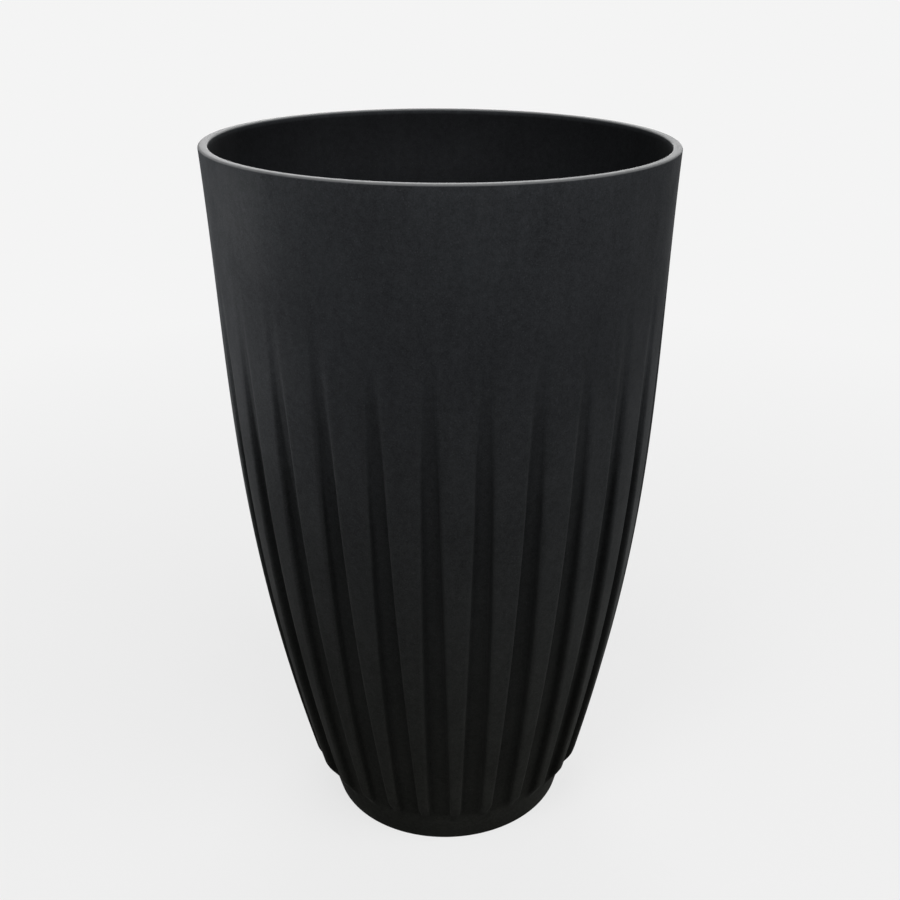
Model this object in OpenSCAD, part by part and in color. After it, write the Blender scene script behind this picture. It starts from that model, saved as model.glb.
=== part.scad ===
// A tall round floor planter: a one-piece pot whose lower two thirds carry tapered upright
// grooves, a grate that keeps the roots out of the water, and a bung for the drain hole.
// Millimetres, +Z up, with the origin on the ground at the centre of the foot.

/* [Pot] */
// Outer diameter of the mouth
mouth_d = 314; // [290:1:340]
// Height from the ground to the lip
pot_h = 508; // [460:1:560]
// Outer diameter of the foot at the ground
foot_d = 178.8; // [164:0.2:196]
// Thickness of the wall, at the lip and behind the grooves
wall_t = 6.2; // [4:0.1:8]
// Radius of the lip's two edges
lip_round = 1.6; // [0.5:0.1:2.4]
// Radius of the edge that the foot stands on
foot_round = 2; // [0.5:0.1:3]

/* [Side curve] */
// Lean of the side away from upright at the ground, in degrees
lean_low = 14.8; // [11:0.1:18]
// Lean of the side away from upright at the lip, in degrees
lean_high = 3.3; // [1:0.1:6]
// Height over which the lower lean draws the curve out
pull_low = 238; // [180:1:270]
// Height over which the upper lean draws the curve in
pull_high = 158; // [110:1:180]

/* [Grooves] */
// Number of grooves round the pot
groove_count = 28; // [20:1:30]
// Depth of a groove where it is deepest
groove_depth = 7; // [4:0.1:8]
// Width of a groove across its mouth at the foot end
groove_w_low = 16; // [11:0.1:18]
// Width of a groove across its mouth at its upper tip
groove_w_high = 4.6; // [3:0.1:8]
// Slope of each side of a groove, in degrees
groove_draft = 7.8; // [6:0.1:10]
// Height of the upper tips, where the grooves run out into the plain wall
groove_top = 447; // [400:1:455]
// Height below which the grooves have their whole depth
groove_full = 220; // [160:1:300]
// Height at which the ribs between the grooves have sunk into the foot
rib_end = 20; // [14:1:30]
// Height above which the ribs stand out wholly
rib_full = 43; // [36:1:60]

/* [Base] */
// Thickness of the base
base_t = 8; // [6:0.5:11]
// Height of the hollow under the base, which lets water run away
recess_h = 6; // [4:0.5:9]
// Width of the ring that the pot stands on
foot_ring_w = 15; // [10:0.5:20]
// Radius between the wall and the base inside
floor_round = 12; // [6:0.5:16]
// Diameter of the drain hole
drain_d = 22; // [16:0.5:26]

/* [Drain bung] */
// Gap all round between the bung and the drain hole
bung_clearance = 0.08; // [0.05:0.01:0.1]
// Diameter of the head, which seals on the base
bung_head_d = 34; // [31:0.5:38]
// Thickness of the head
bung_head_t = 4; // [3:0.5:6]
// Length of the tapered nose below the hole
bung_nose = 3; // [1:0.5:3.5]
// How much narrower the nose ends
bung_nose_taper = 2; // [1:0.1:4]
// Diameter of the knob that the bung is pulled by
knob_d = 13; // [10:0.5:15]
// Height of the knob above the head
knob_h = 11; // [9.5:0.5:14]
// Depth of the finger groove round the knob
knob_waist = 2; // [1:0.1:2.2]
// Radius of the knob's top edge
knob_round = 2; // [1:0.1:2.5]
// Bevel of the head's upper edge
head_bevel = 1; // [0.5:0.1:1.5]

/* [Drainage grate] */
// Gap all round between the plate and the pot's inner wall
grate_gap = 2; // [1:0.5:4]
// Height of the legs, which is the depth of water that the pot can hold
leg_h = 40; // [36:1:60]
// Diameter of a leg
leg_d = 18; // [14:0.5:22]
// Bore of a leg
leg_bore = 11; // [8:0.5:13]
// Number of legs
leg_count = 4; // [3:1:6]
// Distance of the legs from the axis
leg_reach = 60; // [54:1:62]
// Thickness of the plate
plate_t = 4; // [3:0.5:6]
// Depth of the rim that stiffens the plate's edge
skirt_h = 10; // [8:0.5:14]
// Thickness of that rim
skirt_t = 3; // [2:0.5:4]
// Diameter of the hole in the middle, for a finger and for the bung
finger_hole_d = 42; // [40:1:46]
// Height of the collar round that hole
collar_h = 6; // [4:0.5:9]
// Thickness of that collar
collar_t = 3; // [2:0.5:4]
// Diameter of a seep hole
seep_d = 7; // [5:0.5:8]
// Distance between neighbouring seep holes round a ring, about
seep_pitch = 19; // [17:0.5:24]
// Distance between the two outer rings of seep holes
seep_ring_gap = 12; // [9:0.5:13]

/* [Hidden] */

// How finely the pot and the small round parts are drawn
pot_fn = 6 * groove_count;
small_fn = 48;
hole_fn = 24;

// Side of the pot over the ribs, as one curve from the ground to the lip
mouth_r = mouth_d / 2;
foot_r = foot_d / 2;
side_points = [
    [foot_r + groove_depth, 0],
    [foot_r + groove_depth + pull_low * tan(lean_low), pull_low],
    [mouth_r - pull_high * tan(lean_high), pot_h - pull_high],
    [mouth_r, pot_h]
];

function curve_at(p, t) = pow(1 - t, 3) * p[0] + 3 * t * pow(1 - t, 2) * p[1]
    + 3 * pow(t, 2) * (1 - t) * p[2] + pow(t, 3) * p[3];

// Place along the curve that lies at height z, by halving
function side_t(z, low = 0, high = 1, n = 24) = n == 0 ? (low + high) / 2
    : curve_at(side_points, (low + high) / 2)[1] < z ? side_t(z, (low + high) / 2, high, n - 1)
    : side_t(z, low, (low + high) / 2, n - 1);

function side_r(z) = curve_at(side_points, side_t(z))[0];

// Smooth change from 0 at height a to 1 at height b
function ease(z, a, b) = let (t = max(0, min(1, (z - a) / (b - a)))) t * t * (3 - 2 * t);

// Radius of the bare shell that the ribs stand on, of the ribs' faces, and of the inside
function shell_r(z) = side_r(z) - groove_depth * ease(z, groove_top, groove_full);
function face_r(z) = side_r(z) - groove_depth * ease(z, rib_full, rib_end);
function inside_r(z) = shell_r(z) - wall_t;

// Heights at which the side is drawn: close together where the ribs sink in
toe_steps = 6;
rise_steps = 18;
lip_steps = 3;
side_top = pot_h - lip_round;
toe_zs = [for (i = [0 : toe_steps]) rib_end + i * (rib_full - rib_end) / toe_steps];
rise_zs = [for (i = [1 : rise_steps]) rib_full + i * (groove_top - rib_full) / rise_steps];
lip_zs = [for (i = [1 : lip_steps]) groove_top + i * (side_top - groove_top) / lip_steps];
side_zs = concat(toe_zs, rise_zs, lip_zs);

// Points on an arc round c, from angle a to angle b
arc_steps = 5;
function arc(c, r, a, b) = [for (i = [0 : arc_steps])
    let (v = a + i * (b - a) / arc_steps) c + r * [cos(v), sin(v)]];

// Inside of the base, and the arc that leads from it into the leaning wall
floor_z = recess_h + base_t;
floor_arc_end = floor_z + floor_round * (1 - sin(lean_low));
floor_centre = [inside_r(floor_arc_end) - floor_round * cos(lean_low), floor_z + floor_round];
inner_zs = [for (z = side_zs) if (z > floor_arc_end + floor_round / 2) z];

// At both ends of a groove its floor comes out past the face by this much, so it runs out
skim = 0.15;
groove_span = groove_top - rib_end;

// Each groove lies between the two sides of an upright wedge. The wedge's edge runs through
// the points where the sloped sides would meet, which leans out with the pot. The wedge is
// longer than the groove at both ends and wider than the pot, and the groove's zone cuts it.
wedge_extra = 60;
groove_reach = 10;
edge_low = side_r(rib_end) - groove_w_low / 2 / tan(groove_draft);
edge_high = side_r(groove_top) - groove_w_high / 2 / tan(groove_draft);
edge_lean = atan((edge_high - edge_low) / groove_span);
wedge_reach = mouth_r + groove_reach - min(edge_low, edge_high);
wedge_half_w = wedge_reach * tan(groove_draft) / cos(edge_lean);
wedge_length = (groove_span + 2 * wedge_extra) / cos(edge_lean);

// The grate stands on the base, and its plate clears the wall at its own height
leg_turn = 45;
plate_z = floor_z + leg_h;
skirt_z = plate_z + plate_t - skirt_h;
plate_r = inside_r(skirt_z) - grate_gap;
collar_r = finger_hole_d / 2 + collar_t;
seep_inner_r = (collar_r + leg_reach - leg_d / 2) / 2;
seep_outer_r = (plate_r - skirt_t + leg_reach + leg_d / 2) / 2;
seep_rings = [
    seep_inner_r,
    seep_outer_r - seep_ring_gap / 2,
    seep_outer_r + seep_ring_gap / 2
];

// The bung hangs by its head, and its tapered nose ends above the ground
bung_r = drain_d / 2 - bung_clearance;
bung_nose_z = recess_h - bung_nose;
head_r = bung_head_d / 2;
head_z = floor_z + bung_head_t;
knob_r = knob_d / 2;
waist_r = knob_r - knob_waist;
knob_z = head_z + knob_h;
knob_edge_z = knob_z - knob_round;

// Cuts run this far past the faces that they open
over = 1;

// Outline of the pot's wall and base, from the axis round by the outside and the lip
module pot_outline() {
    polygon(concat(
        [[0, 0]],
        arc([foot_r - foot_round, foot_round], foot_round, -90, 0),
        [for (z = side_zs) [face_r(z), z]],
        arc([mouth_r - lip_round, side_top], lip_round, 0, 90),
        arc([mouth_r - wall_t + lip_round, side_top], lip_round, 90, 180),
        [for (i = [len(inner_zs) - 2 : -1 : 0]) [inside_r(inner_zs[i]), inner_zs[i]]],
        arc(floor_centre, floor_round, -lean_low, -90),
        [[0, floor_z]]
    ));
}

// Everything outside the bare shell, over the height of the grooves
module groove_zone() {
    zs = concat(toe_zs, rise_zs);
    depth = [for (z = zs) min(ease(z, groove_top, groove_full), ease(z, rib_end, rib_full))];
    rotate_extrude($fn = pot_fn)
        polygon(concat(
            [for (i = [0 : len(zs) - 1]) [shell_r(zs[i]) + skim * (1 - depth[i]), zs[i]]],
            [[mouth_r + groove_reach, groove_top], [mouth_r + groove_reach, rib_end]]
        ));
}

module groove_wedge() {
    translate([edge_low, 0, rib_end])
        rotate([0, edge_lean, 0])
            translate([0, 0, -wedge_extra])
                linear_extrude(wedge_length)
                    polygon([[0, 0], [wedge_reach, wedge_half_w], [wedge_reach, -wedge_half_w]]);
}

module grooves() {
    intersection() {
        groove_zone();
        for (i = [0 : groove_count - 1])
            rotate([0, 0, -90 + i * 360 / groove_count])
                groove_wedge();
    }
}

module pot() {
    color([0.13, 0.13, 0.135])
    difference() {
        rotate_extrude($fn = pot_fn)
            pot_outline();
        grooves();
        // Hollow under the base
        translate([0, 0, -over])
            cylinder(h = recess_h + over, r = foot_r - foot_ring_w, $fn = pot_fn);
        cylinder(h = floor_z + over, r = drain_d / 2, $fn = small_fn);
    }
}

module drainage_grate() {
    color([0.09, 0.09, 0.09])
    difference() {
        union() {
            translate([0, 0, plate_z])
                cylinder(h = plate_t, r = plate_r, $fn = pot_fn);
            // Rim under the plate's edge
            rotate_extrude($fn = pot_fn)
                translate([plate_r - skirt_t, skirt_z])
                    square([skirt_t, skirt_h]);
            translate([0, 0, plate_z])
                cylinder(h = plate_t + collar_h, r = collar_r, $fn = small_fn);
            for (i = [0 : leg_count - 1])
                rotate([0, 0, leg_turn + i * 360 / leg_count])
                    translate([leg_reach, 0, floor_z])
                        cylinder(h = leg_h + plate_t / 2, r = leg_d / 2, $fn = small_fn);
        }
        translate([0, 0, plate_z - over])
            cylinder(h = plate_t + collar_h + 2 * over, r = finger_hole_d / 2, $fn = small_fn);
        for (i = [0 : leg_count - 1])
            rotate([0, 0, leg_turn + i * 360 / leg_count])
                translate([leg_reach, 0, floor_z - over])
                    cylinder(h = leg_h + over, r = leg_bore / 2, $fn = small_fn);
        // An even number of seep holes in each ring
        for (ring_r = seep_rings) {
            count = 2 * floor(PI * ring_r / seep_pitch);
            for (i = [0 : count - 1])
                rotate([0, 0, i * 360 / count])
                    translate([ring_r, 0, plate_z - over])
                        cylinder(h = plate_t + 2 * over, r = seep_d / 2, $fn = hole_fn);
        }
    }
}

module drain_bung() {
    color([0.05, 0.05, 0.05])
    rotate_extrude($fn = small_fn)
        polygon(concat(
            [
                [0, bung_nose_z],
                [bung_r - bung_nose_taper, bung_nose_z],
                [bung_r, recess_h],
                [bung_r, floor_z],
                [head_r, floor_z],
                [head_r, head_z - head_bevel],
                [head_r - head_bevel, head_z],
                [knob_r, head_z],
                [waist_r, head_z + knob_waist],
                [waist_r, knob_edge_z - 2 * knob_waist],
                [knob_r, knob_edge_z - knob_waist]
            ],
            arc([knob_r - knob_round, knob_edge_z], knob_round, 0, 90),
            [[0, knob_z]]
        ));
}

pot();
drainage_grate();
drain_bung();
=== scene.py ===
import bpy
import math
from mathutils import Matrix, Vector


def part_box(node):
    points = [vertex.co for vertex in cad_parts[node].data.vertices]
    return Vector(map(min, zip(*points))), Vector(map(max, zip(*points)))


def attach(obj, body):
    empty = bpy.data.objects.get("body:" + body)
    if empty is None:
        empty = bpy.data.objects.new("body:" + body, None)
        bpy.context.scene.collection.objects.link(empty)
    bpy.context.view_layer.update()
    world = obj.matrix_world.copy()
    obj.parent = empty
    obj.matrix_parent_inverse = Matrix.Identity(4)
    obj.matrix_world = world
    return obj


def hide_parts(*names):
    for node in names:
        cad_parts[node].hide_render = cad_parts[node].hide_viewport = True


# Tall round floor planter: fluted pot, drainage grate and drain bung, in metres
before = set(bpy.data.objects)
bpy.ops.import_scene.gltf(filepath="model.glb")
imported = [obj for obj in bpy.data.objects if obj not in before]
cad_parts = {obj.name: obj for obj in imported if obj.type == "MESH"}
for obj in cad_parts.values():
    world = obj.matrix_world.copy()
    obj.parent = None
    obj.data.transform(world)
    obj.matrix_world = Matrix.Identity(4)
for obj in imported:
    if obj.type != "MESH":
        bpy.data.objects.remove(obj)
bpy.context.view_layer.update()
mm = 0.001
print("frame loaded:", ", ".join(sorted(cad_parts)))

# Node helpers: a value may be a number or another node's output


def give(tree, slot, value):
    if isinstance(value, bpy.types.NodeSocket):
        tree.links.new(value, slot)
    else:
        slot.default_value = value


def addNode(tree, kind, values=None, **settings):
    node = tree.nodes.new(kind)
    for name, setting in settings.items():
        setattr(node, name, setting)
    for name, value in (values or {}).items():
        give(tree, node.inputs[name], value)
    return node


def calc(tree, operation, *values):
    node = addNode(tree, "ShaderNodeMath", operation=operation)
    for slot, value in zip(node.inputs, values):
        give(tree, slot, value)
    return node.outputs[0]


def plus(tree, first, second):
    return calc(tree, "ADD", first, second)


def minus(tree, first, second):
    return calc(tree, "SUBTRACT", first, second)


def times(tree, first, second):
    return calc(tree, "MULTIPLY", first, second)


def over(tree, first, second):
    return calc(tree, "DIVIDE", first, second)


def ramp(tree, value, low, high, start=0.0, end=1.0):
    # runs from start at low to end at high, and stays level outside
    node = addNode(tree, "ShaderNodeMapRange", {
        "Value": value, "From Min": low, "From Max": high, "To Min": start, "To Max": end}, clamp=True)
    return node.outputs["Result"]


def addInput(tree, name, kind, value=None):
    item = tree.interface.new_socket(name=name, in_out="INPUT", socket_type=kind)
    if value is not None:
        item.default_value = value


def addOutput(tree, name, kind):
    tree.interface.new_socket(name=name, in_out="OUTPUT", socket_type=kind)


def startTree(name, sockets):
    # a Geometry Nodes tree: sockets gives each input's kind and, where it has one, its value
    tree = bpy.data.node_groups.new(name, "GeometryNodeTree")
    for key, (kind, *value) in sockets.items():
        addInput(tree, key, "NodeSocket" + kind, *value)
    addOutput(tree, "Geometry", "NodeSocketGeometry")
    return tree, addNode(tree, "NodeGroupInput").outputs


def polyline(name, points, closed, **attributes):
    # a line through points of the XZ plane, with one number per point for each attribute
    mesh = bpy.data.meshes.new(name)
    edges = [(i, i + 1) for i in range(len(points) - 1)]
    if closed:
        edges.append((len(points) - 1, 0))
    mesh.from_pydata([(r, 0, z) for r, z in points], edges, [])
    for key, numbers in attributes.items():
        mesh.attributes.new(key, "FLOAT", "POINT").data.foreach_set("value", numbers)
    return mesh


def runNodes(name, mesh, tree, values):
    # puts the tree on the mesh, sets its named inputs and keeps the result as a plain mesh
    piece = bpy.data.objects.new(name, mesh)
    bpy.context.scene.collection.objects.link(piece)
    modifier = piece.modifiers.new("shape", "NODES")
    modifier.node_group = tree
    for item in tree.interface.items_tree:
        if item.item_type == "SOCKET" and item.in_out == "INPUT" and item.name in values:
            modifier[item.identifier] = values[item.name]
    graph = bpy.context.evaluated_depsgraph_get()
    made = bpy.data.meshes.new_from_object(piece.evaluated_get(graph), depsgraph=graph)
    piece.modifiers.remove(modifier)
    piece.data = made
    made.name = name
    print(name, len(made.vertices), "points,", sum(len(p.vertices) - 2 for p in made.polygons), "triangles")
    return piece


def softened(corners, steps=3, hold=0.0):
    # corners are (r, z, radius): each one with a radius becomes an arc between its two sides,
    # and hold adds a point that far along both sides, so that smooth shading leaves flats flat
    points = []
    for i, (r, z, radius) in enumerate(corners):
        corner = Vector((r, z))
        if not radius:
            points.append((r, z))
            continue
        before = (Vector(corners[i - 1][:2]) - corner).normalized()
        after = (Vector(corners[(i + 1) % len(corners)][:2]) - corner).normalized()
        half = before.angle(after) / 2
        centre = corner + (before + after).normalized() * (radius / math.sin(half))
        first = corner + before * (radius / math.tan(half)) - centre
        last = corner + after * (radius / math.tan(half)) - centre
        turn = math.atan2(first.x * last.y - first.y * last.x, first.dot(last))
        if hold:
            points.append(tuple(centre + first + before * hold))
        for k in range(steps + 1):
            points.append(tuple(centre + Matrix.Rotation(turn * k / steps, 2) @ first))
        if hold:
            points.append(tuple(centre + last + after * hold))
    return points


# Shader groups that more than one material uses


def startGroup(name, numbers, results):
    tree = bpy.data.node_groups.new(name, "ShaderNodeTree")
    for key, value in numbers.items():
        addInput(tree, key, "NodeSocketFloat", value)
    for key in results:
        addOutput(tree, key, "NodeSocketFloat")
    return tree, addNode(tree, "NodeGroupInput").outputs


def objectPlace(tree):
    return addNode(tree, "ShaderNodeTexCoord").outputs["Object"]


def addNoise(tree, place, size, detail, roughness, distortion=0.0):
    return addNode(tree, "ShaderNodeTexNoise", {
        "Vector": place, "Scale": over(tree, 1.0, size), "Detail": detail, "Roughness": roughness,
        "Distortion": distortion}).outputs["Fac"]


def grainGroup():
    # fine grain: a height for bump, and pale flecks scattered through it
    tree, inputs = startGroup("fineGrain", {
        "Grain Size": 0.5 * mm, "Fleck Size": 1.5 * mm, "Fleck Share": 0.2}, ("Height", "Fleck"))
    fleckRim, fleckHeart = 0.34, 0.12  # shares of a cell, between which a fleck fades in
    place = objectPlace(tree)
    noise = addNoise(tree, place, inputs["Grain Size"], 3.0, 0.65)
    cells = addNode(tree, "ShaderNodeTexVoronoi", {
        "Vector": place, "Scale": over(tree, 1.0, inputs["Fleck Size"]), "Randomness": 1.0}).outputs
    chosen = addNode(tree, "ShaderNodeSeparateColor", {"Color": cells["Color"]}).outputs["Red"]
    picked = calc(tree, "LESS_THAN", chosen, inputs["Fleck Share"])
    spot = ramp(tree, cells["Distance"], fleckRim, fleckHeart)
    addNode(tree, "NodeGroupOutput", {"Height": noise, "Fleck": times(tree, spot, picked)})
    return tree


def cloudGroup():
    # broad uneven tone, 0 to 1, stretched along the pot's height where Stretch is above 1
    tree, inputs = startGroup("cloudyTone", {
        "Cloud Size": 40 * mm, "Stretch": 1.0, "Contrast": 1.0}, ["Tone"])
    gain = 2.5  # spreads the noise, most of which lies near its middle
    parts = addNode(tree, "ShaderNodeSeparateXYZ", {"Vector": objectPlace(tree)}).outputs
    along = over(tree, parts["Z"], inputs["Stretch"])
    moved = addNode(tree, "ShaderNodeCombineXYZ", {"X": parts["X"], "Y": parts["Y"], "Z": along}).outputs
    noise = addNoise(tree, moved["Vector"], inputs["Cloud Size"], 4.0, 0.55, 0.3)
    wide = times(tree, minus(tree, noise, 0.5), times(tree, inputs["Contrast"], gain))
    addNode(tree, "NodeGroupOutput", {"Tone": ramp(tree, plus(tree, wide, 0.5), 0.0, 1.0)})
    return tree


def rubGroup():
    # where hands and sacks rub: along the edges that the input marks, broken up by noise
    tree, inputs = startGroup("rubbedEdge", {"Edge": 0.0, "Patch Size": 6 * mm, "Amount": 0.5}, ["Mask"])
    bare, full = 0.35, 0.65  # noise between which a patch fades in
    patch = ramp(tree, addNoise(tree, objectPlace(tree), inputs["Patch Size"], 3.0, 0.7), bare, full)
    worn = times(tree, times(tree, inputs["Edge"], patch), inputs["Amount"])
    addNode(tree, "NodeGroupOutput", {"Mask": worn})
    return tree


def dustGroup():
    # pale dust on faces that look up, in soft patches
    tree, inputs = startGroup("settledDust", {"Patch Size": 12 * mm, "Amount": 0.3}, ["Mask"])
    bare, full = 0.3, 0.7  # noise between which a patch fades in
    steep, level = 0.4, 0.95  # upward parts of the normal, between which dust comes to rest
    facing = addNode(tree, "ShaderNodeNewGeometry").outputs["Normal"]
    upward = addNode(tree, "ShaderNodeSeparateXYZ", {"Vector": facing}).outputs["Z"]
    patch = ramp(tree, addNoise(tree, objectPlace(tree), inputs["Patch Size"], 5.0, 0.6), bare, full)
    lying = times(tree, ramp(tree, upward, steep, level), patch)
    addNode(tree, "NodeGroupOutput", {"Mask": times(tree, lying, inputs["Amount"])})
    return tree


shared = {"grain": grainGroup(), "cloud": cloudGroup(), "rub": rubGroup(), "dust": dustGroup()}


def useGroup(tree, name, values):
    node = addNode(tree, "ShaderNodeGroup", node_tree=shared[name])
    for key, value in values.items():
        give(tree, node.inputs[key], value)
    return node.outputs


def blendColour(tree, factor, first, second, blend="MIX"):
    node = addNode(tree, "ShaderNodeMix", data_type="RGBA", blend_type=blend)
    give(tree, node.inputs["Factor"], factor)
    for slot, value in zip([s for s in node.inputs if s.type == "RGBA"], (first, second)):
        give(tree, slot, value)
    return [s for s in node.outputs if s.type == "RGBA"][0]


def startMaterial(name):
    material = bpy.data.materials.new(name)
    material.use_nodes = True
    return material, material.node_tree, material.node_tree.nodes["Principled BSDF"]


def finishMaterial(tree, shader, colour, roughness, specular, grain, look):
    for name, value in (("Base Color", colour), ("Roughness", roughness), ("Specular IOR Level", specular)):
        give(tree, shader.inputs[name], value)
    bump = addNode(tree, "ShaderNodeBump", {
        "Height": grain, "Strength": look["grainStrength"], "Distance": look["grainDepth"]})
    give(tree, shader.inputs["Normal"], bump.outputs["Normal"])


def grey(value, warmth=0.0):
    return (value * (1 + warmth), value, value * (1 - warmth), 1.0)


# Pot

stone = {
    "dark": grey(0.0085),
    "light": grey(0.0245),
    "cloud": {"Cloud Size": 42 * mm, "Stretch": 1.6, "Contrast": 0.9},
    "mottle": {"Cloud Size": 3.6 * mm, "Contrast": 1.1},
    "streak": {"Cloud Size": 6 * mm, "Stretch": 9.0, "Contrast": 0.9},
    "toneShares": {"cloud": 0.20, "mottle": 0.28, "streak": 0.12},
    "grain": {"Grain Size": 0.9 * mm, "Fleck Size": 1.4 * mm, "Fleck Share": 0.14},
    "grainLevels": (0.3, 0.7),
    "grainShare": 0.48,
    "grainDepth": 0.12 * mm,
    "grainStrength": 0.5,
    "fleckColour": grey(0.050, 0.02),
    "fleckStrength": 0.30,
    # painted light: the colour is tinted warmer low down and bluer high up
    "tintLow": (0.917, 0.94, 0.832, 1.0),
    "tintHigh": (0.972, 1.04, 1.139, 1.0),
    "tintHeights": (40 * mm, 400 * mm),
    # painted light: the band under the lip is made paler
    "bleachColour": (1.29, 1.29, 1.29, 1.0),
    "bleachHeights": (420 * mm, 505 * mm),
    # painted light: the foot is made paler
    "footColour": (1.31, 1.31, 1.34, 1.0),
    "footHeights": (105 * mm, 40 * mm),
    "rub": {"Patch Size": 5 * mm, "Amount": 0.03},
    "rubColour": grey(0.040, 0.02),
    # painted shade: the inside wall is darkened, most just under the rim
    "innerShade": (0.46, 0.66),
    "innerHeights": (468 * mm, 500 * mm),
    # painted shade: the groove floors are darkened where they sink below the rib faces
    "paintedGrooveShade": 0.20,
    "paintedGrooveShadeDepth": (0.7 * mm, 2.2 * mm),
    # painted highlight: the lip is given a much paler colour
    "lipHighlightColour": grey(0.102, -0.02),
    "lipCoat": 0.45,
    "lipCoatRoughness": 0.40,
    "dust": {"Patch Size": 14 * mm, "Amount": 0.10},
    "dustColour": grey(0.080, 0.06),
    "roughness": (0.74, 0.58),
    "roughLevels": (0.6, 1.4),
    "specular": (0.003, 0.02),
    "dullHeights": (25 * mm, 130 * mm),
}


def stoneMaterial():
    # dark cast stone look: clouds, fine mottling and faint upright streaks, and a lip with a satin coat and a
    # much paler colour as a painted highlight
    material, tree, shader = startMaterial("charcoalStone")
    marks = {name: addNode(tree, "ShaderNodeAttribute", attribute_name=name).outputs["Fac"]
             for name in ("edge", "lip", "inner", "groove")}
    height = addNode(tree, "ShaderNodeSeparateXYZ", {"Vector": objectPlace(tree)}).outputs["Z"]
    tones = {name: useGroup(tree, "cloud", stone[name])["Tone"] for name in stone["toneShares"]}
    grain = useGroup(tree, "grain", stone["grain"])
    rub = useGroup(tree, "rub", {"Edge": marks["edge"], **stone["rub"]})["Mask"]
    dust = useGroup(tree, "dust", stone["dust"])["Mask"]

    # tone from dark to light, then flecks, then painted light: tints that follow the height, warmer low down
    # and bluer high up, a paler band under the lip and a paler foot
    tone = ramp(tree, grain["Height"], *stone["grainLevels"], 0.0, stone["grainShare"])
    for name, share in stone["toneShares"].items():
        tone = plus(tree, tone, times(tree, tones[name], share))
    colour = blendColour(tree, tone, stone["dark"], stone["light"])
    fleck = times(tree, grain["Fleck"], stone["fleckStrength"])
    colour = blendColour(tree, fleck, colour, stone["fleckColour"])
    # painted light: the colour is tinted warmer low down and bluer high up
    tint = blendColour(tree, ramp(tree, height, *stone["tintHeights"]), stone["tintLow"], stone["tintHigh"])
    colour = blendColour(tree, 1.0, colour, tint, "MULTIPLY")
    # painted light: the band under the lip and the foot are made paler
    for part in ("bleach", "foot"):
        paler = blendColour(tree, 1.0, colour, stone[part + "Colour"], "MULTIPLY")
        colour = blendColour(tree, ramp(tree, height, *stone[part + "Heights"]), colour, paler)

    # wear, dirt and painted light: rubbed ribs, painted shade on the inside and in the grooves, a painted
    # highlight on the lip, and dust over all
    colour = blendColour(tree, rub, colour, stone["rubColour"])
    # painted shade: the inside wall is darkened, most just under the rim
    inside = times(tree, marks["inner"], ramp(tree, height, *stone["innerHeights"], *stone["innerShade"]))
    # painted shade: the groove floors are darkened where they sink below the rib faces
    paintedGrooveShade = times(tree, ramp(tree, marks["groove"], *stone["paintedGrooveShadeDepth"]), stone["paintedGrooveShade"])
    colour = blendColour(tree, plus(tree, inside, paintedGrooveShade), colour, grey(0.0))
    # painted highlight: the lip is given a much paler colour
    colour = blendColour(tree, marks["lip"], colour, stone["lipHighlightColour"])
    colour = blendColour(tree, dust, colour, stone["dustColour"])
    uneven = plus(tree, tones["cloud"], grain["Height"])
    rough = ramp(tree, uneven, *stone["roughLevels"], *stone["roughness"])
    shine = ramp(tree, height, *stone["dullHeights"], *stone["specular"])
    finishMaterial(tree, shader, colour, rough, shine, grain["Height"], stone)
    give(tree, shader.inputs["Coat Weight"], times(tree, marks["lip"], stone["lipCoat"]))
    give(tree, shader.inputs["Coat Roughness"], stone["lipCoatRoughness"])
    return material


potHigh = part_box("pot")[1]
pot = {
    "mouthRadius": potHigh.x,
    "height": potHigh.z,
    "footRadius": 89.4 * mm,
    "wall": 6.2 * mm,
    "lipRound": 1.6 * mm,
    "lipFade": (0.75, 0.25),
    "footRound": 2 * mm,
    "leanLow": math.radians(14.8),
    "leanHigh": math.radians(3.3),
    "pullLow": 238 * mm,
    "pullHigh": 158 * mm,
    "grooves": 28,
    "grooveDepth": 7 * mm,
    "grooveWidthLow": 16 * mm,
    "grooveWidthHigh": 4.6 * mm,
    "draft": math.radians(7.8),
    "grooveTop": 447 * mm,
    "grooveFull": 220 * mm,
    "tipShare": 0.16,
    "ribEnd": 20 * mm,
    "ribFull": 43 * mm,
    "ribEdge": 2.2 * mm,
    "grooveCorner": 1.8 * mm,
    "shallowGrowth": 2.2,
    "shallowDepth": 5 * mm,
    "slimRadius": 100 * mm,
    "base": 8 * mm,
    "recess": 6 * mm,
    "footRing": 15 * mm,
    "floorRound": 12 * mm,
    "drainRadius": 11 * mm,
    "softEdge": 0.6 * mm,
    "lipStartOutside": 3 * mm,
    "lipStartInside": 4 * mm,
    "columnsPerGroove": 24,
    "stretchEnds": (2 / 12, 5 / 12, 7 / 12, 10 / 12),
    "edgeMark": (2 / 12, 0.5 / 12),
    "edgeMarkDepth": 4 * mm,
    "rows": {"foot": 10, "ribs": 34, "tips": 18, "band": 7, "inside": 16},
}

sideStart = pot["footRadius"] + pot["grooveDepth"]
spreadLow = pot["pullLow"] * math.tan(pot["leanLow"])
spreadHigh = pot["pullHigh"] * math.tan(pot["leanHigh"])
sideCurve = [
    Vector((sideStart, 0)),
    Vector((sideStart + spreadLow, pot["pullLow"])),
    Vector((pot["mouthRadius"] - spreadHigh, pot["height"] - pot["pullHigh"])),
    Vector((pot["mouthRadius"], pot["height"])),
]


def curveAt(t):
    a, b, c, d = sideCurve
    return a * (1 - t) ** 3 + b * (3 * t * (1 - t) ** 2) + c * (3 * t * t * (1 - t)) + d * t ** 3


def sideRadius(z):
    low, high = 0.0, 1.0
    halvings = 30
    for _ in range(halvings):
        middle = (low + high) / 2
        low, high = (middle, high) if curveAt(middle).y < z else (low, middle)
    return curveAt(low).x


def ease(z, start, end):
    t = max(0.0, min(1.0, (z - start) / (end - start)))
    return t * t * (3 - 2 * t)


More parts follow.
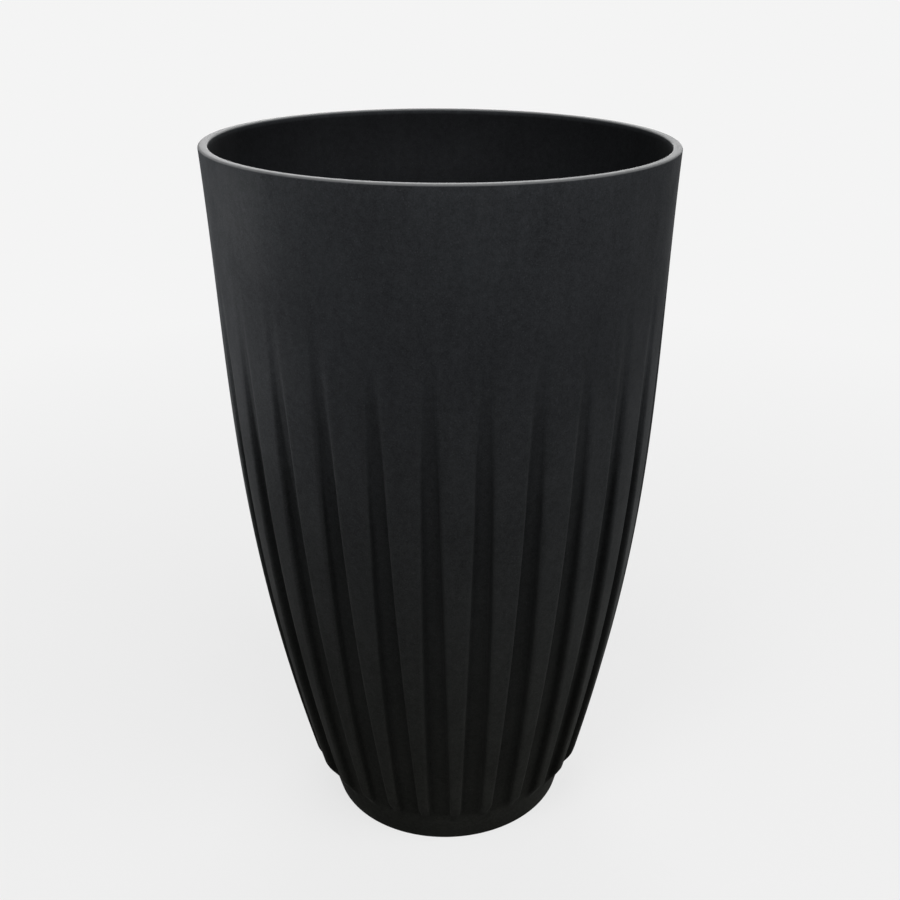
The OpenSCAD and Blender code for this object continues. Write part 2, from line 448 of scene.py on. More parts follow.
def shellRadius(z):
    # the floor of the grooves
    return sideRadius(z) - pot["grooveDepth"] * ease(z, pot["grooveTop"], pot["grooveFull"])


def faceRadius(z):
    # the faces of the ribs, which sink into the foot
    return sideRadius(z) - pot["grooveDepth"] * ease(z, pot["ribFull"], pot["ribEnd"])


def grooveHalfWidth(z):
    # the sloped sides of a groove meet on a straight line inside the wall
    slope = math.tan(pot["draft"])
    low = sideRadius(pot["ribEnd"]) - pot["grooveWidthLow"] / 2 / slope
    high = sideRadius(pot["grooveTop"]) - pot["grooveWidthHigh"] / 2 / slope
    share = (z - pot["ribEnd"]) / (pot["grooveTop"] - pot["ribEnd"])
    return (faceRadius(z) - low - (high - low) * share) * slope


def heights(start, end, steps):
    return [start + (end - start) * i / steps for i in range(steps)]


def potUnderside():
    # from the drain hole across the recess and the foot ring, up to where the ribs end
    ringRadius, soft = pot["footRadius"] - pot["footRing"], pot["softEdge"]
    return softened([
        (pot["drainRadius"], pot["recess"], soft), (ringRadius, pot["recess"], 2 * soft),
        (ringRadius, 0, soft), (pot["footRadius"], 0, pot["footRound"]),
        (faceRadius(pot["ribEnd"]), pot["ribEnd"], 0)])[:-1]


def potLip(outerEnd, innerStart):
    # the rounded lip, between the last height outside and the first inside
    return softened([
        (faceRadius(outerEnd), outerEnd, 0),
        (pot["mouthRadius"], pot["height"], pot["lipRound"]),
        (pot["mouthRadius"] - pot["wall"], pot["height"], pot["lipRound"]),
        (shellRadius(innerStart) - pot["wall"], innerStart, 0)], steps=5)[1:-1]


def potFloor(innerEnd):
    # from the last height inside, round the rim of the floor and into the drain hole
    floorZ = pot["recess"] + pot["base"]
    lean = (shellRadius(innerEnd) - shellRadius(floorZ)) / (innerEnd - floorZ)
    floorRim = shellRadius(innerEnd) - pot["wall"] - lean * (innerEnd - floorZ)
    return softened([
        (shellRadius(innerEnd) - pot["wall"], innerEnd, 0), (floorRim, floorZ, pot["floorRound"]),
        (pot["drainRadius"], floorZ, pot["softEdge"]), (pot["drainRadius"], pot["recess"], 0)], steps=6)[1:-1]


def potProfile():
    # one closed line round the wall's section, with the groove's depth and width at each point
    rows, height = pot["rows"], pot["height"]
    tip = pot["grooveTop"] - pot["tipShare"] * height
    outerHeights = heights(pot["ribEnd"], pot["ribFull"], rows["foot"])
    outerHeights += heights(pot["ribFull"], tip, rows["ribs"])
    outerHeights += heights(tip, pot["grooveTop"], rows["tips"])
    outerHeights += heights(pot["grooveTop"], height - pot["lipStartOutside"], rows["band"])
    innerLow = pot["recess"] + pot["base"] + 2 * pot["floorRound"]
    innerHeights = heights(height - pot["lipStartInside"], innerLow, rows["inside"])
    under = potUnderside()
    points = under + [(faceRadius(z), z) for z in outerHeights]
    outerEnd = len(points)
    points += potLip(outerHeights[-1], innerHeights[0])
    innerStart = len(points)
    points += [(shellRadius(z) - pot["wall"], z) for z in innerHeights] + potFloor(innerHeights[-1])

    # away from the grooves nothing shows of their width, and it shrinks towards the axis
    depths, slits, rims, inners = [], [], [], []
    widthLow, widthHigh = (grooveHalfWidth(z) for z in (pot["ribEnd"], pot["grooveTop"]))
    lipStart, lipFull = (height - share * pot["lipRound"] for share in pot["lipFade"])
    for i, (r, z) in enumerate(points):
        inGrooves = len(under) <= i < outerEnd and z <= pot["grooveTop"]
        depths.append(faceRadius(z) - shellRadius(z) if inGrooves else 0.0)
        narrowed = widthHigh * min(1, r / pot["slimRadius"])
        plain = widthLow * r / faceRadius(pot["ribEnd"]) if i < len(under) else narrowed
        slits.append(grooveHalfWidth(z) if inGrooves else plain)
        rims.append(ease(z, lipStart, lipFull))
        inners.append(1.0 if i >= innerStart else 0.0)
    return polyline("potProfile", points, True, depth=depths, slit=slits, rim=rims, inner=inners)


def profileGrid(tree, profile, columns, closed=1.0):
    # a grid with one column round the axis per step and one row per profile point,
    # and a last row that comes back to the first point where closed is 1
    size = addNode(tree, "GeometryNodeAttributeDomainSize", {"Geometry": profile}, component="MESH")
    rows = size.outputs["Point Count"]
    tall = plus(tree, rows, closed)
    grid = addNode(tree, "GeometryNodeMeshGrid", {
        "Size X": 1.0, "Size Y": 1.0, "Vertices X": plus(tree, columns, 1.0), "Vertices Y": tall})
    index = addNode(tree, "GeometryNodeInputIndex").outputs["Index"]
    column = calc(tree, "FLOOR", over(tree, plus(tree, index, 0.5), tall))
    row = calc(tree, "MODULO", minus(tree, index, times(tree, column, tall)), rows)

    def sample(value, kind):
        return addNode(tree, "GeometryNodeSampleIndex", {
            "Geometry": profile, "Value": value, "Index": row}, data_type=kind).outputs[0]

    def pick(name):
        field = addNode(tree, "GeometryNodeInputNamedAttribute", {"Name": name}, data_type="FLOAT")
        return sample(field.outputs["Attribute"], "FLOAT")

    place = addNode(tree, "GeometryNodeInputPosition").outputs["Position"]
    parts = addNode(tree, "ShaderNodeSeparateXYZ", {"Vector": sample(place, "FLOAT_VECTOR")}).outputs
    return grid.outputs["Mesh"], column, parts["X"], parts["Z"], pick


def placeRound(tree, mesh, radius, angle, height):
    # sets each grid point on its circle and closes the seams
    seamGap = 0.008 * mm
    x = times(tree, radius, calc(tree, "COSINE", angle))
    y = times(tree, radius, calc(tree, "SINE", angle))
    place = addNode(tree, "ShaderNodeCombineXYZ", {"X": x, "Y": y, "Z": height}).outputs["Vector"]
    moved = addNode(tree, "GeometryNodeSetPosition", {"Geometry": mesh, "Position": place})
    merged = addNode(tree, "GeometryNodeMergeByDistance", {
        "Geometry": moved.outputs["Geometry"], "Distance": seamGap})
    return merged.outputs["Geometry"]


def finishTree(tree, mesh, material, crease=None):
    # edges that turn by more than the crease angle stay crisp
    real = addNode(tree, "GeometryNodeRealizeInstances", {"Geometry": mesh}).outputs["Geometry"]
    smooth = addNode(tree, "GeometryNodeSetShadeSmooth", {"Geometry": real, "Shade Smooth": True})
    if crease:
        bend = addNode(tree, "GeometryNodeInputMeshEdgeAngle").outputs["Unsigned Angle"]
        smooth = addNode(tree, "GeometryNodeSetShadeSmooth", {
            "Geometry": smooth.outputs["Geometry"], "Selection": calc(tree, "GREATER_THAN", bend, crease),
            "Shade Smooth": False}, domain="EDGE")
    dressed = addNode(tree, "GeometryNodeSetMaterial", {
        "Geometry": smooth.outputs["Geometry"], "Material": material})
    addNode(tree, "NodeGroupOutput", {"Geometry": dressed.outputs["Geometry"]})


def grooveShare(tree, column, perGroove):
    # the groove that a column belongs to, its side, and its way from the groove's middle (0) to the rib's (1)
    halfCount = times(tree, perGroove, 0.5)
    groove = calc(tree, "FLOOR", over(tree, plus(tree, column, halfCount), perGroove))
    aside = minus(tree, column, times(tree, groove, perGroove))
    return groove, calc(tree, "SIGN", aside), over(tree, calc(tree, "ABSOLUTE", aside), halfCount)


def stretchParts(tree, share):
    # the section has five stretches: floor, corner, wall, rib edge and rib face, and the first four
    # end at these shares of the columns
    floorTo, cornerTo, wallTo, edgeTo = pot["stretchEnds"]
    gather = 3.0  # draws the columns of the floor and the face towards the rounds
    floorPart = minus(tree, 1.0, calc(tree, "POWER", ramp(tree, share, 0, floorTo, 1, 0), gather))
    cornerPart = ramp(tree, share, floorTo, cornerTo)
    wallPart = ramp(tree, share, cornerTo, wallTo)
    edgePart = ramp(tree, share, wallTo, edgeTo)
    facePart = calc(tree, "POWER", ramp(tree, share, edgeTo, 1), gather)
    return floorPart, cornerPart, wallPart, edgePart, facePart


def roundRadii(tree, inputs, face, depth, reach, halves):
    # the rounds grow where the groove is shallow, so that its ends melt away, and never take more
    # than most of the half rib or the half floor
    mostShare = 0.88
    shrink = calc(tree, "MINIMUM", over(tree, face, pot["slimRadius"]), 1.0)
    growth = times(tree, shrink, ramp(tree, depth, 0.0, pot["shallowDepth"], pot["shallowGrowth"], 1.0))
    most = over(tree, mostShare, reach)
    return [calc(tree, "MINIMUM", times(tree, inputs[name], growth), times(tree, half, most))
            for name, half in halves.items()]


def grooveSection(tree, inputs, share, face, depth, slit):
    # how far a column lies across from the groove's middle and how far below the face of the ribs
    floorPart, cornerPart, wallPart, edgePart, facePart = stretchParts(tree, share)

    # the rounds of the rib's edge and the groove's corner turn by the same angle
    turn = minus(tree, math.pi / 2, inputs["Draft"])
    turnSine, turnCosine = calc(tree, "SINE", turn), calc(tree, "COSINE", turn)
    reach = calc(tree, "TANGENT", times(tree, turn, 0.5))
    ribHalf = times(tree, face, calc(tree, "SINE", over(tree, math.pi, inputs["Grooves"])))
    floorHalf = minus(tree, slit, times(tree, depth, calc(tree, "TANGENT", inputs["Draft"])))
    edgeRadius, cornerRadius = roundRadii(tree, inputs, face, depth, reach, {
        "Rib Edge": minus(tree, ribHalf, slit), "Groove Corner": floorHalf})
    bothRadii = plus(tree, edgeRadius, cornerRadius)
    turned = times(tree, turn, cornerPart)
    unturned = times(tree, turn, minus(tree, 1.0, edgePart))

    # sideways: the ends of the stretches, with the rounds squeezed where the groove runs out
    roundsShare = 0.96
    floorEnd = minus(tree, floorHalf, times(tree, cornerRadius, reach))
    faceStart = plus(tree, slit, times(tree, edgeRadius, reach))
    span = minus(tree, faceStart, floorEnd)
    tight = over(tree, times(tree, span, roundsShare), times(tree, bothRadii, turnSine))
    squeeze = calc(tree, "MINIMUM", tight, 1.0)
    cornerReach = times(tree, cornerRadius, squeeze)
    edgeReach = times(tree, edgeRadius, squeeze)
    edgeSide = minus(tree, turnSine, calc(tree, "SINE", unturned))
    wallRun = minus(tree, span, times(tree, plus(tree, cornerReach, edgeReach), turnSine))
    across = times(tree, floorEnd, floorPart)
    for run, part in ((cornerReach, calc(tree, "SINE", turned)), (wallRun, wallPart), (edgeReach, edgeSide),
                      (minus(tree, ribHalf, faceStart), facePart)):
        across = plus(tree, across, times(tree, run, part))

    # outwards: how far the section has risen from the groove's floor, scaled to the depth here
    bothRises = times(tree, bothRadii, minus(tree, 1.0, turnCosine))
    wallRise = calc(tree, "MAXIMUM", minus(tree, depth, bothRises), 0.0)
    cornerUp = times(tree, cornerRadius, minus(tree, 1.0, calc(tree, "COSINE", turned)))
    edgeUp = times(tree, edgeRadius, minus(tree, calc(tree, "COSINE", unturned), turnCosine))
    risen = plus(tree, plus(tree, cornerUp, edgeUp), times(tree, wallRise, wallPart))
    lift = times(tree, risen, over(tree, depth, plus(tree, bothRises, wallRise)))
    return across, minus(tree, depth, lift)


def ribEdgeMark(tree, share, depth):
    # 1 along the edges of the ribs, fading to both sides and where the groove is shallow
    edgeMiddle = (pot["stretchEnds"][2] + pot["stretchEnds"][3]) / 2
    away = calc(tree, "ABSOLUTE", minus(tree, share, edgeMiddle))
    return times(tree, ramp(tree, away, *pot["edgeMark"]), ramp(tree, depth, 0.0, pot["edgeMarkDepth"]))


def flutedTree():
    tree, inputs = startTree("flutedShell", {
        "Profile": ("Geometry",), "Grooves": ("Int", 28), "Columns per Groove": ("Int", 24),
        "Draft": ("Float", 0.14), "Rib Edge": ("Float", 1.5 * mm), "Groove Corner": ("Float", 1.0 * mm),
        "Material": ("Material",)})
    perGroove = inputs["Columns per Groove"]
    columns = times(tree, inputs["Grooves"], perGroove)
    mesh, column, face, height, pick = profileGrid(tree, inputs["Profile"], columns)
    depth = pick("depth")
    groove, side, share = grooveShare(tree, column, perGroove)
    across, below = grooveSection(tree, inputs, share, face, depth, pick("slit"))
    radius = minus(tree, face, below)

    # the first groove looks along -Y
    swing = times(tree, calc(tree, "ARCSINE", over(tree, across, radius)), side)
    step = over(tree, 2 * math.pi, inputs["Grooves"])
    angle = plus(tree, times(tree, groove, step), minus(tree, swing, math.pi / 2))

    # marks for the material: rib edges, depth in the grooves, the lip and the inside
    for name, value in (("edge", ribEdgeMark(tree, share, depth)), ("groove", below), ("lip", pick("rim")),
                        ("inner", pick("inner"))):
        stored = addNode(tree, "GeometryNodeStoreNamedAttribute", {
            "Geometry": mesh, "Name": name, "Value": value}, data_type="FLOAT", domain="POINT")
        mesh = stored.outputs["Geometry"]
    finishTree(tree, placeRound(tree, mesh, radius, angle, height), inputs["Material"])
    return tree


potPiece = runNodes("flutedPot", potProfile(), flutedTree(), {
    "Grooves": pot["grooves"],
    "Columns per Groove": pot["columnsPerGroove"],
    "Draft": pot["draft"],
    "Rib Edge": pot["ribEdge"],
    "Groove Corner": pot["grooveCorner"],
    "Material": stoneMaterial(),
})
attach(potPiece, "pot")
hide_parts("pot")
print("pot made")

# Turned shapes: the bung, and the blanks and tools that the grate is made from


def turnedTree():
    # turns a line of points round the axis: a closed line, or one that starts and ends on the axis
    tree, inputs = startTree("turned", {
        "Profile": ("Geometry",), "Closed": ("Int", 0), "Columns": ("Int", 96), "Material": ("Material",)})
    columns = inputs["Columns"]
    mesh, column, radius, height, _ = profileGrid(tree, inputs["Profile"], columns, inputs["Closed"])
    angle = times(tree, column, over(tree, 2 * math.pi, columns))
    finishTree(tree, placeRound(tree, mesh, radius, angle, height), inputs["Material"])
    return tree


turning = turnedTree()

# Drainage grate

grateLow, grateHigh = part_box("drainage_grate")
grate = {
    "plateRadius": grateHigh.x,
    "plateTop": pot["recess"] + pot["base"] + 44 * mm,
    "plate": 4 * mm,
    "rimDepth": 10 * mm,
    "rimWall": 3 * mm,
    "fingerRadius": 21 * mm,
    "collar": 3 * mm,
    "legs": 4,
    "legReach": 60 * mm,
    "legTurn": math.radians(45),
    "legRadius": 9 * mm,
    "boreRadius": 5.5 * mm,
    "legFlare": 1.5 * mm,
    "seepRadius": 3.5 * mm,
    "seepPitch": 19 * mm,
    "ringGap": 12 * mm,
    "chamfer": 0.5 * mm,
    "softEdge": 0.6 * mm,
    "rimEdge": 0.9 * mm,
    "hold": 0.5 * mm,
    "spare": 1 * mm,
    "crease": math.radians(32),
    "plateColumns": 168,
    "legColumns": 48,
    "seepColumns": 24,
}
plastic = {
    "dark": grey(0.010, -0.02),
    "light": grey(0.019, -0.02),
    "swirl": {"Cloud Size": 16 * mm, "Stretch": 0.4, "Contrast": 1.3},
    "grain": {"Grain Size": 0.45 * mm, "Fleck Size": 2.0 * mm, "Fleck Share": 0.10},
    "grainDepth": 0.06 * mm,
    "grainStrength": 0.4,
    "fleckColour": grey(0.055),
    "fleckStrength": 0.5,
    "scuff": {"Patch Size": 4 * mm, "Amount": 0.7},
    "scuffWidth": 1.2 * mm,
    "scuffColour": grey(0.060, 0.03),
    "soil": {"Patch Size": 11 * mm, "Amount": 0.55},
    "soilColour": (0.050, 0.036, 0.024, 1.0),
    "roughness": (0.34, 0.56),
    "swirlDullness": 0.5,
    "specular": 0.45,
}


def plasticMaterial():
    # recycled black plastic: swirls and pale flecks, soil lying on top and scuffs along the rim
    material, tree, shader = startMaterial("recycledPlastic")
    swirl = useGroup(tree, "cloud", plastic["swirl"])["Tone"]
    grain = useGroup(tree, "grain", plastic["grain"])
    flat = addNode(tree, "ShaderNodeVectorMath", {0: objectPlace(tree), 1: (1, 1, 0)}, operation="MULTIPLY")
    away = addNode(tree, "ShaderNodeVectorMath", {0: flat.outputs["Vector"]}, operation="LENGTH")
    rimStart = grate["plateRadius"] - plastic["scuffWidth"]
    rim = ramp(tree, away.outputs["Value"], rimStart, grate["plateRadius"])
    scuff = useGroup(tree, "rub", {"Edge": rim, **plastic["scuff"]})["Mask"]
    soil = useGroup(tree, "dust", plastic["soil"])["Mask"]
    fleck = times(tree, grain["Fleck"], plastic["fleckStrength"])
    colour = blendColour(tree, swirl, plastic["dark"], plastic["light"])
    colour = blendColour(tree, fleck, colour, plastic["fleckColour"])
    colour = blendColour(tree, scuff, colour, plastic["scuffColour"])
    colour = blendColour(tree, soil, colour, plastic["soilColour"])
    worn = calc(tree, "MAXIMUM", scuff, soil)
    dull = calc(tree, "MAXIMUM", times(tree, swirl, plastic["swirlDullness"]), worn)
    rough = ramp(tree, dull, 0.0, 1.0, *plastic["roughness"])
    finishMaterial(tree, shader, colour, rough, plastic["specular"], grain["Height"], plastic)
    return material


def grateProfiles():
    # the plate with its rim and collar, a leg, the bore of a leg, and the tool for a seep hole
    top, under, low = grate["plateTop"], grate["plateTop"] - grate["plate"], grateLow.z
    plateRadius, fingerRadius = grate["plateRadius"], grate["fingerRadius"]
    rimInside, rimLow = plateRadius - grate["rimWall"], top - grate["rimDepth"]
    collarRadius, collarTop = fingerRadius + grate["collar"], grateHigh.z
    legRadius, boreRadius, flare = grate["legRadius"], grate["boreRadius"], grate["legFlare"]
    soft, rimEdge, spare, chamfer = grate["softEdge"], grate["rimEdge"], grate["spare"], grate["chamfer"]
    plate = softened([
        (fingerRadius, under, soft), (rimInside, under, rimEdge), (rimInside, rimLow, soft),
        (plateRadius, rimLow, soft), (plateRadius, top, rimEdge), (collarRadius, top, rimEdge),
        (collarRadius, collarTop, soft), (fingerRadius, collarTop, soft)], hold=grate["hold"])
    halfPlate = under + grate["plate"] / 2
    leg = softened([
        (0, low, 0), (legRadius, low, soft), (legRadius, under, flare), (legRadius + flare, under, 0),
        (legRadius + flare, halfPlate, 0), (0, halfPlate, 0)], steps=4)
    bore = softened([
        (0, low - spare, 0), (boreRadius + spare + chamfer, low - spare, 0), (boreRadius, low + chamfer, 0),
        (boreRadius, under, flare), (0, under, 0)], steps=4)
    mouth = grate["seepRadius"] + chamfer + spare
    seep = [(0, under - spare), (mouth, under - spare), (grate["seepRadius"], under + chamfer),
            (grate["seepRadius"], top - chamfer), (mouth, top + spare), (0, top + spare)]
    return plate, leg, bore, seep


def grateTree():
    tree, inputs = startTree("perforatedGrate", {
        "Plate": ("Geometry",), "Leg": ("Object",), "Leg Bore": ("Object",), "Seep Hole": ("Object",),
        "Legs": ("Int", 4), "Leg Reach": ("Float", 60 * mm), "Leg Turn": ("Float", 0.0),
        "Seep Pitch": ("Float", 19 * mm), "Inner Ring": ("Float", 40 * mm), "Middle Ring": ("Float", 70 * mm),
        "Outer Ring": ("Float", 80 * mm), "Crease Angle": ("Float", 0.5), "Material": ("Material",)})

    def roundAxis(tool, radius, count, turn=0.0):
        # copies of a tool spaced evenly round the axis
        circle = addNode(tree, "GeometryNodeMeshCircle", {"Vertices": count, "Radius": radius})
        swing = addNode(tree, "ShaderNodeCombineXYZ", {"Z": turn})
        swung = addNode(tree, "GeometryNodeTransform", {
            "Geometry": circle.outputs["Mesh"], "Rotation": swing.outputs["Vector"]})
        shape = addNode(tree, "GeometryNodeObjectInfo", {"Object": inputs[tool]})
        return addNode(tree, "GeometryNodeInstanceOnPoints", {
            "Points": swung.outputs["Geometry"], "Instance": shape.outputs["Geometry"]}).outputs["Instances"]

    def onLegs(tool):
        return roundAxis(tool, inputs["Leg Reach"], inputs["Legs"], inputs["Leg Turn"])

    joined = addNode(tree, "GeometryNodeMeshBoolean", {
        "Mesh 2": inputs["Plate"]}, operation="UNION", solver="MANIFOLD")
    give(tree, joined.inputs["Mesh 2"], onLegs("Leg"))
    cut = addNode(tree, "GeometryNodeMeshBoolean", {
        "Mesh 1": joined.outputs["Mesh"]}, operation="DIFFERENCE", solver="MANIFOLD")
    give(tree, cut.inputs["Mesh 2"], onLegs("Leg Bore"))
    for name in ("Inner Ring", "Middle Ring", "Outer Ring"):
        spaces = over(tree, times(tree, inputs[name], math.pi), inputs["Seep Pitch"])
        count = times(tree, calc(tree, "FLOOR", spaces), 2.0)  # an even count keeps both halves alike
        give(tree, cut.inputs["Mesh 2"], roundAxis("Seep Hole", inputs[name], count))
    finishTree(tree, cut.outputs["Mesh"], inputs["Material"], inputs["Crease Angle"])
    return tree


def makeGrate():
    plate, leg, bore, seep = grateProfiles()
    tools = {}
    for name, line, columns in (("Leg", leg, grate["legColumns"]), ("Leg Bore", bore, grate["legColumns"]),
                                ("Seep Hole", seep, grate["seepColumns"])):
        tools[name] = runNodes("tool" + name.replace(" ", ""), polyline(name, line, False), turning,
                               {"Columns": columns})
    blank = runNodes("plateBlank", polyline("plate", plate, True), turning,
                     {"Closed": 1, "Columns": grate["plateColumns"]})
    outerMiddle = (grate["plateRadius"] - grate["rimWall"] + grate["legReach"] + grate["legRadius"]) / 2
    values = {
        "Legs": grate["legs"],
        "Leg Reach": grate["legReach"],
        "Leg Turn": grate["legTurn"],
        "Seep Pitch": grate["seepPitch"],
        "Inner Ring": (grate["fingerRadius"] + grate["collar"] + grate["legReach"] - grate["legRadius"]) / 2,
        "Middle Ring": outerMiddle - grate["ringGap"] / 2,
        "Outer Ring": outerMiddle + grate["ringGap"] / 2,
        "Crease Angle": grate["crease"],
        "Material": plasticMaterial(),
    }
    piece = runNodes("drainageGrate", blank.data, grateTree(), {**values, **tools})
    for tool in [blank, *tools.values()]:
        bpy.data.objects.remove(tool)
    return piece


gratePiece = makeGrate()
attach(gratePiece, "grate")
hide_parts("drainage_grate")
print("grate made")

# Drain bung

bungLow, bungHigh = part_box("drain_bung")
bung = {
    "bodyRadius": pot["drainRadius"] - 0.08 * mm,
    "noseTaper": 2 * mm,
    "headRadius": bungHigh.x,
    "head": 4 * mm,
    "headBevel": 1 * mm,
    "knobRadius": 6.5 * mm,
    "knobWaist": 2 * mm,
    "knobRound": 2 * mm,
    "softEdge": 0.5 * mm,
    "hold": 0.3 * mm,
    "columns": 96,
}
rubber = {
    "dark": grey(0.012, 0.01),
    "light": grey(0.020, 0.03),
    "cloud": {"Cloud Size": 6 * mm, "Contrast": 1.2},
    "grain": {"Grain Size": 0.3 * mm, "Fleck Size": 1.0 * mm, "Fleck Share": 0.08},
    "grainDepth": 0.05 * mm,
    "grainStrength": 0.4,
    "fleckStrength": 0.3,
    "bloom": {"Patch Size": 4 * mm, "Amount": 0.5},
    "bloomColour": grey(0.075, 0.03),
    "roughness": (0.55, 0.75),
    "specular": 0.35,
}


def rubberMaterial():
    # soft black rubber with a greyish bloom in patches
    material, tree, shader = startMaterial("softRubber")
    cloud = useGroup(tree, "cloud", rubber["cloud"])["Tone"]
    grain = useGroup(tree, "grain", rubber["grain"])
    bloom = useGroup(tree, "dust", rubber["bloom"])["Mask"]
    fleck = times(tree, grain["Fleck"], rubber["fleckStrength"])
    colour = blendColour(tree, cloud, rubber["dark"], rubber["light"])
    colour = blendColour(tree, bloom, colour, rubber["bloomColour"])
    colour = blendColour(tree, fleck, colour, rubber["bloomColour"])
    rough = ramp(tree, cloud, 0.0, 1.0, *rubber["roughness"])
    finishMaterial(tree, shader, colour, rough, rubber["specular"], grain["Height"], rubber)
    return material


def bungProfile():
    # from the nose up the body, round the head and up the waisted knob
    floorZ = pot["recess"] + pot["base"]
    headZ = floorZ + bung["head"]
    body, head, bevel, knob = bung["bodyRadius"], bung["headRadius"], bung["headBevel"], bung["knobRadius"]
    dip = bung["knobWaist"]
    waist, edgeZ = knob - dip, bungHigh.z - bung["knobRound"]
    soft = bung["softEdge"]
    corners = [
        (0, bungLow.z, 0), (body - bung["noseTaper"], bungLow.z, soft), (body, pot["recess"], soft),
        (body, floorZ, 0), (head, floorZ, soft), (head, headZ - bevel, soft / 2),
        (head - bevel, headZ, soft / 2), (knob, headZ, 0), (waist, headZ + dip, soft),
        (waist, edgeZ - 2 * dip, soft), (knob, edgeZ - dip, soft),
        (knob, bungHigh.z, bung["knobRound"] - soft), (0, bungHigh.z, 0)]
    return polyline("bungProfile", softened(corners, 4, bung["hold"]), False)


bungPiece = runNodes("drainBung", bungProfile(), turning, {
    "Columns": bung["columns"],
    "Material": rubberMaterial(),
})
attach(bungPiece, "bung")
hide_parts("drain_bung")
print("bung made")

# Studio: floor, lamps and camera

studio = {
    "paper": 0.905,
    "ambient": 0.06,
    "floorColour": grey(0.14),
    "shadeColour": grey(0.12),
    "glowNear": 0.73,
    "nearRadius": 0.25,
    "farRadius": 1.3,
    "floorHalf": 60.0,
    "floorDrop": 0.1 * mm,
    "middle": Vector((0, 0, 0.3)),
    "lampDistance": 2.3,
    "lampSize": 1.0,
    "nearDistance": 0.6,
    "nearSize": 0.2,
    "nearSpread": 60,
}
# bearing from the front towards the right and rise above the middle in degrees, and watts
farLamps = {
    "keyLeft": (330, 36, 20.5),
    "keyRight": (30, 36, 15.5),
    "sideRight": (62, 34, 21),
    "frontTop": (350, 65, 14.5),
    "backTop": (180, 50, 12.5),
    "backLow": (190, 12, 10.7),
    "backRight": (165, 12, 7.4),
}
# small lamps close to the sides give the highlights there their clear edges:
# bearing in degrees, height, the height that the lamp aims at, and watts
nearLamps = {
    "nearLeft": (274, 0.37, 0.41, 0.42),
    "nearRight": (92, 0.22, 0.24, 0.15),
}


def seenDirectly(tree):
    # 1 for what the camera sees straight, in a reflection or through glass, and 0 for light on the object
    path = addNode(tree, "ShaderNodeLightPath").outputs
    return calc(tree, "MAXIMUM", path["Is Camera Ray"],
                calc(tree, "MAXIMUM", path["Is Glossy Ray"], path["Is Transmission Ray"]))


def studioFloor():
    # matte for the light that it throws back, and pale paper with a soft shadow where it is seen
    mesh = bpy.data.meshes.new("studioFloor")
    half, low = studio["floorHalf"], -studio["floorDrop"]
    mesh.from_pydata([(-half, -half, low), (half, -half, low), (half, half, low), (-half, half, low)], [],
                     [(0, 1, 2, 3)])
    floor = bpy.data.objects.new("studioFloor", mesh)
    bpy.context.scene.collection.objects.link(floor)
    material, tree, _ = startMaterial("palePaper")
    tree.nodes.clear()
    matte = addNode(tree, "ShaderNodeBsdfDiffuse", {"Color": studio["floorColour"]}).outputs["BSDF"]
    shade = addNode(tree, "ShaderNodeBsdfDiffuse", {"Color": studio["shadeColour"]}).outputs["BSDF"]
    away = addNode(tree, "ShaderNodeVectorMath", {0: objectPlace(tree)}, operation="LENGTH").outputs["Value"]
    far = ramp(tree, away, studio["nearRadius"], studio["farRadius"])
    glow = addNode(tree, "ShaderNodeEmission", {"Strength": studio["glowNear"]}).outputs["Emission"]
    lit = addNode(tree, "ShaderNodeAddShader", {0: shade, 1: glow}).outputs["Shader"]
    blank = addNode(tree, "ShaderNodeEmission", {"Strength": studio["paper"]}).outputs["Emission"]
    paper = addNode(tree, "ShaderNodeMixShader", {0: far, 1: lit, 2: blank}).outputs["Shader"]
    mix = addNode(tree, "ShaderNodeMixShader", {0: seenDirectly(tree), 1: matte, 2: paper})
    addNode(tree, "ShaderNodeOutputMaterial", {"Surface": mix.outputs["Shader"]})
    mesh.materials.append(material)


def studioWorld():
    world = bpy.data.worlds.new("studioWorld")
    bpy.context.scene.world = world
    world.use_nodes = True
    tree = world.node_tree
    background = tree.nodes["Background"]
    background.inputs["Color"].default_value = grey(1.0)
    strength = ramp(tree, seenDirectly(tree), 0.0, 1.0, studio["ambient"], studio["paper"])
    give(tree, background.inputs["Strength"], strength)


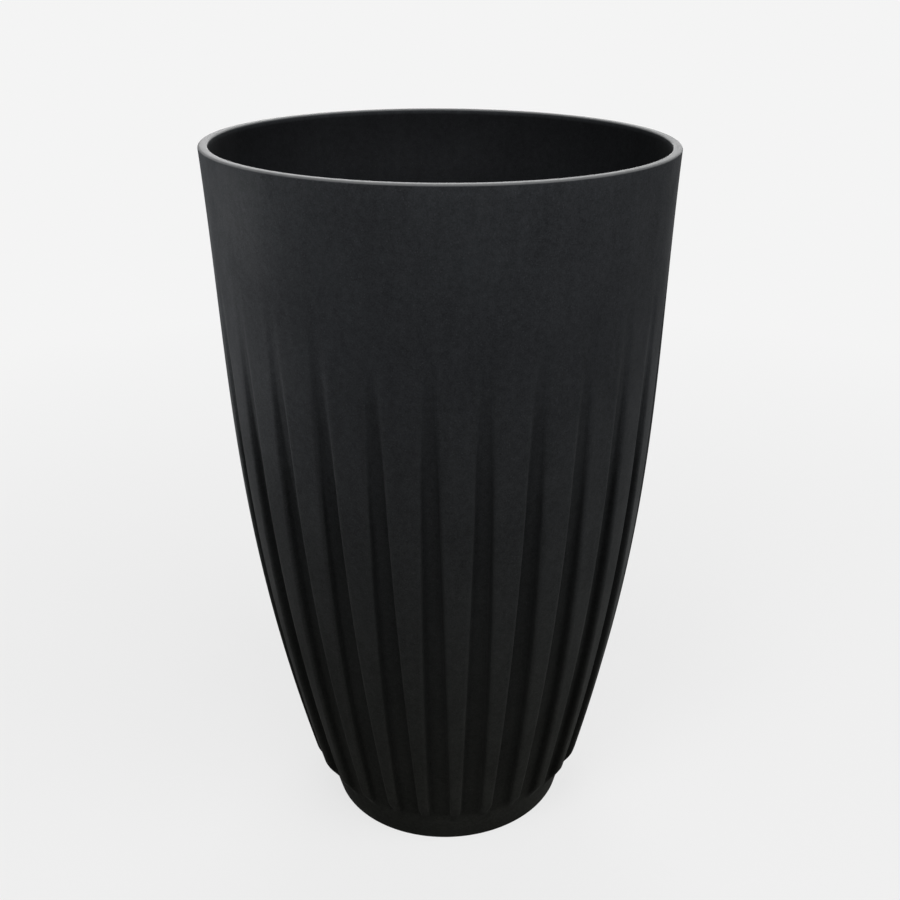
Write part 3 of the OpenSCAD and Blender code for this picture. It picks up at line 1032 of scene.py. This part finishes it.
def softBox(name, place, aim, size, power, spread=180):
    # spread is the width of the beam in degrees
    light = bpy.data.lights.new(name, "AREA")
    light.shape = "SQUARE"
    light.size, light.energy, light.spread = size, power, math.radians(spread)
    lamp = bpy.data.objects.new(name, light)
    lamp.location = place
    lamp.rotation_euler = (Vector(aim) - Vector(place)).to_track_quat("-Z", "Y").to_euler()
    lamp.visible_camera = False  # the near ones would stand in some views
    bpy.context.scene.collection.objects.link(lamp)


def studioLamps():
    middle = studio["middle"]
    for name, (bearing, rise, power) in farLamps.items():
        turned = Matrix.Rotation(math.radians(bearing), 3, "Z") @ Matrix.Rotation(-math.radians(rise), 3, "X")
        place = middle + turned @ Vector((0, -studio["lampDistance"], 0))
        softBox(name, place, middle, studio["lampSize"], power)
    for name, (bearing, height, aim, power) in nearLamps.items():
        turned = Matrix.Rotation(math.radians(bearing), 3, "Z")
        place = turned @ Vector((0, -studio["nearDistance"], height))
        softBox(name, place, (0, 0, aim), studio["nearSize"], power, studio["nearSpread"])


studioFloor()
studioWorld()
studioLamps()

view = {
    "distance": 778.7 * mm,
    "height": 625.9 * mm,
    "turn": math.radians(3.768),
    "yaw": math.radians(-0.532),
    "pitch": math.radians(23.672),
    "roll": math.radians(0.772),
    "lens": 46.136,
    "sensor": 36,
    "shift": -0.0614,
}


def addCamera():
    data = bpy.data.cameras.new("camera")
    data.lens, data.sensor_width, data.shift_x = view["lens"], view["sensor"], view["shift"]
    camera = bpy.data.objects.new("camera", data)
    turn, yaw, pitch, roll = view["turn"], view["yaw"], view["pitch"], view["roll"]
    forward = math.cos(pitch)
    ahead = Vector((math.sin(yaw) * forward, math.cos(yaw) * forward, -math.sin(pitch)))
    level = Vector((math.cos(yaw), -math.sin(yaw), 0))
    above = level.cross(ahead)
    right = level * math.cos(roll) + above * math.sin(roll)
    up = above * math.cos(roll) - level * math.sin(roll)
    place = Vector((view["distance"] * math.sin(turn), -view["distance"] * math.cos(turn), view["height"]))
    camera.matrix_world = Matrix.Translation(place) @ Matrix((right, up, -ahead)).transposed().to_4x4()
    bpy.context.scene.collection.objects.link(camera)
    bpy.context.scene.camera = camera


addCamera()
bpy.context.scene.view_settings.view_transform = "Standard"
print("studio made")
